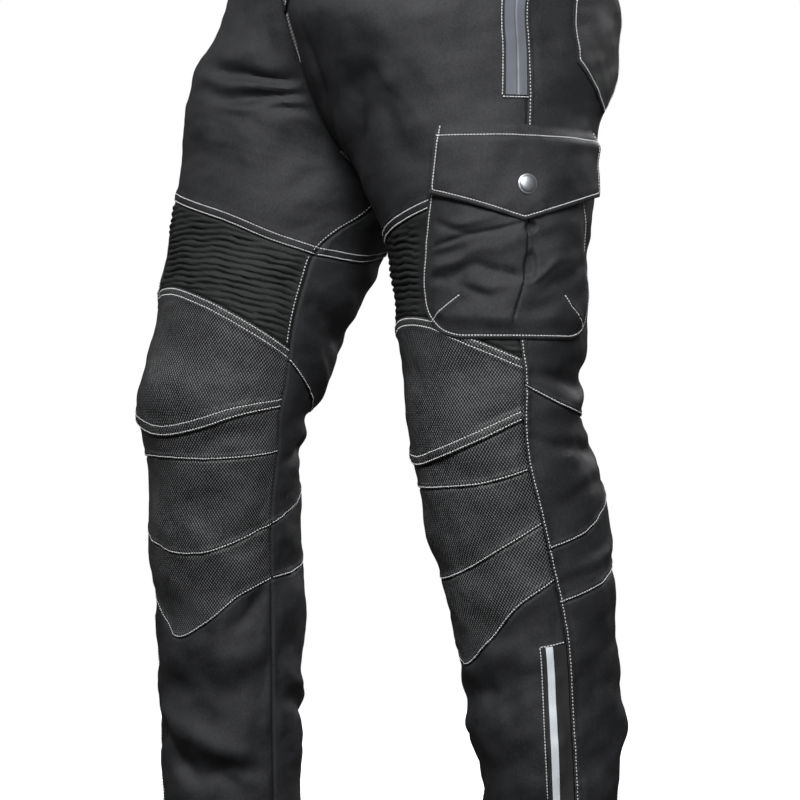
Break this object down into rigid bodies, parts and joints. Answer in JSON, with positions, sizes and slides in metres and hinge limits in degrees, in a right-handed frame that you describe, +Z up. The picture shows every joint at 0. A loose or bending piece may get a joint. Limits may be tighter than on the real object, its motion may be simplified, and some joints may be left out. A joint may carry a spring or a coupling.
{
  "type": "motorcycle trousers",
  "caption": "Padded-knee riding trousers as worn, with gathered stretch panels above the knees, cargo pockets, zipped ankles and contrast stitching",
  "frame": {"origin": "the centre of the waistband, where the wearer's waist holds the trousers up", "axes": "+Z up, the wearer faces -Y, the wearer's left leg is at +X"},
  "size_m": [0.4738, 0.404, 1.0043],
  "materials": {
    "shell_cloth": "plain woven nylon, faint sheen",
    "gathered_cloth": "matt stretch knit, gathered",
    "knee_cloth": "coarse basket weave",
    "zip_tape": "smooth coated tape",
    "dark_tape": "matt tape",
    "reflective": "satin reflective strip",
    "metal": "satin"
  },
  "bodies": {
    "root": {"ankle_slider_left": "metal", "ankle_slider_right": "metal", "ankle_zip_left": "dark_tape", "ankle_zip_right": "dark_tape", "back_knee_left": "shell_cloth", "back_knee_right": "shell_cloth", "back_pocket_left": "shell_cloth", "back_pocket_right": "shell_cloth", "back_thigh_left": "shell_cloth", "back_thigh_right": "shell_cloth", "calf_band_left": "shell_cloth", "calf_band_right": "shell_cloth", "calf_left": "shell_cloth", "calf_right": "shell_cloth", "cargo_flap_left": "shell_cloth", "cargo_flap_right": "shell_cloth", "cargo_pocket_left": "shell_cloth", "cargo_pocket_right": "shell_cloth", "flap_snap_left": "metal", "flap_snap_right": "metal", "fly_left": "shell_cloth", "front_left": "shell_cloth", "front_right": "shell_cloth", "gathered_panel_left": "gathered_cloth", "gathered_panel_right": "gathered_cloth", "hip_slider_left": "metal", "hip_slider_right": "metal", "hip_zip_left": "zip_tape", "hip_zip_right": "zip_tape", "knee_band_left": "knee_cloth", "knee_band_right": "knee_cloth", "knee_cap_left": "knee_cloth", "knee_cap_right": "knee_cloth", "knee_lower_left": "knee_cloth", "knee_lower_right": "knee_cloth", "knee_tip_left": "knee_cloth", "knee_tip_right": "knee_cloth", "reflective_strip_left": "reflective", "reflective_strip_right": "reflective", "seat_left": "shell_cloth", "seat_right": "shell_cloth", "shin_left": "shell_cloth", "shin_right": "shell_cloth", "waist_snap": "metal", "waistband": "shell_cloth"}
  },
  "joints": []
}
